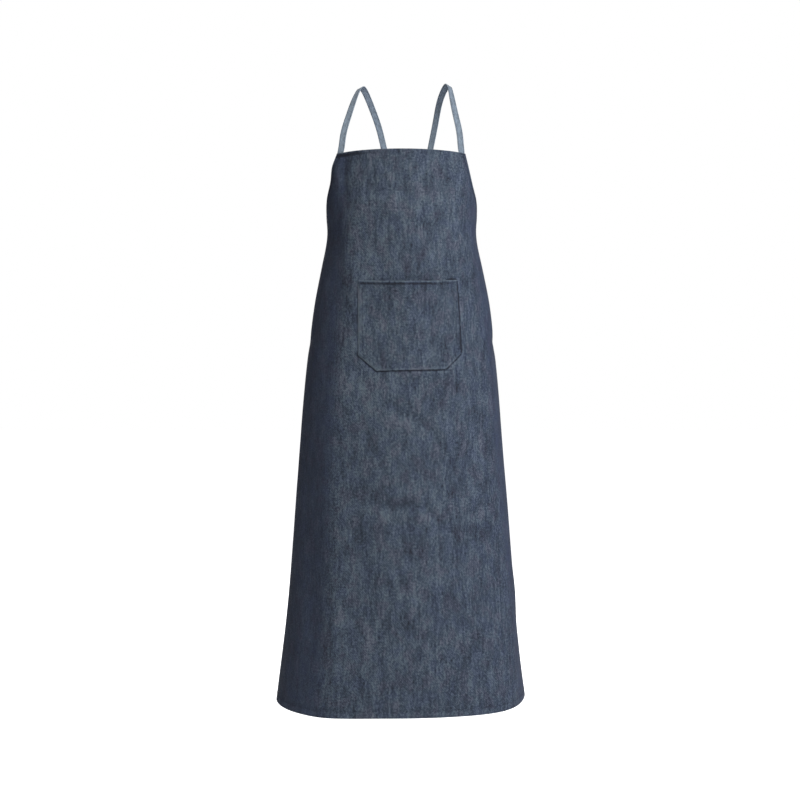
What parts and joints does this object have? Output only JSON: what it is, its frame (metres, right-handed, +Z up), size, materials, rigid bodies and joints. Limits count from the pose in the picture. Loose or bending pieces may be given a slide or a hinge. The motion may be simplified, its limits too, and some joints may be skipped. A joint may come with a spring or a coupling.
{
  "type": "apron",
  "caption": "Long denim bib apron in its worn shape, with two narrow shoulder straps crossing at the back and a patch pocket with cut bottom corners.",
  "frame": {"origin": "midway between the tops of the two shoulder straps, where the shoulders carry them", "axes": "+Z up, the front of the apron faces -Y, +X is the right-hand side seen from the front"},
  "size_m": [0.4919, 0.3028, 1.2194],
  "materials": {
    "denim": "indigo cotton denim twill with slub streaks, matt",
    "strap_tape": "grey-blue cotton twill tape, matt",
    "thread": "dark navy sewing thread"
  },
  "bodies": {
    "apron": {"body_panel": "denim", "bib_hem": "denim", "armhole_hem_left": "denim", "armhole_hem_right": "denim", "side_hem_left": "denim", "side_hem_right": "denim", "bottom_hem": "denim", "pocket_patch": "denim", "pocket_mouth_hem": "denim", "left_strap_bib_end": "strap_tape", "right_strap_bib_end": "strap_tape", "left_strap_back": "strap_tape", "right_strap_back": "strap_tape", "strap_tacks": "thread", "pocket_tacks": "thread"},
    "left_strap": {"left_strap_loop": "strap_tape"},
    "right_strap": {"right_strap_loop": "strap_tape"}
  },
  "joints": [
    {"name": "left_strap_slip", "type": "hinge", "parent": "apron", "child": "left_strap", "pos_m": [-0.11497, -0.05594, -0.1385], "axis": [-0.4435, -0.6517, 0.6153], "range_deg": [-10, 75]},
    {"name": "right_strap_slip", "type": "hinge", "parent": "apron", "child": "right_strap", "pos_m": [0.11472, -0.05594, -0.1385], "axis": [-0.3879, 0.6635, -0.6397], "range_deg": [-10, 75]}
  ]
}
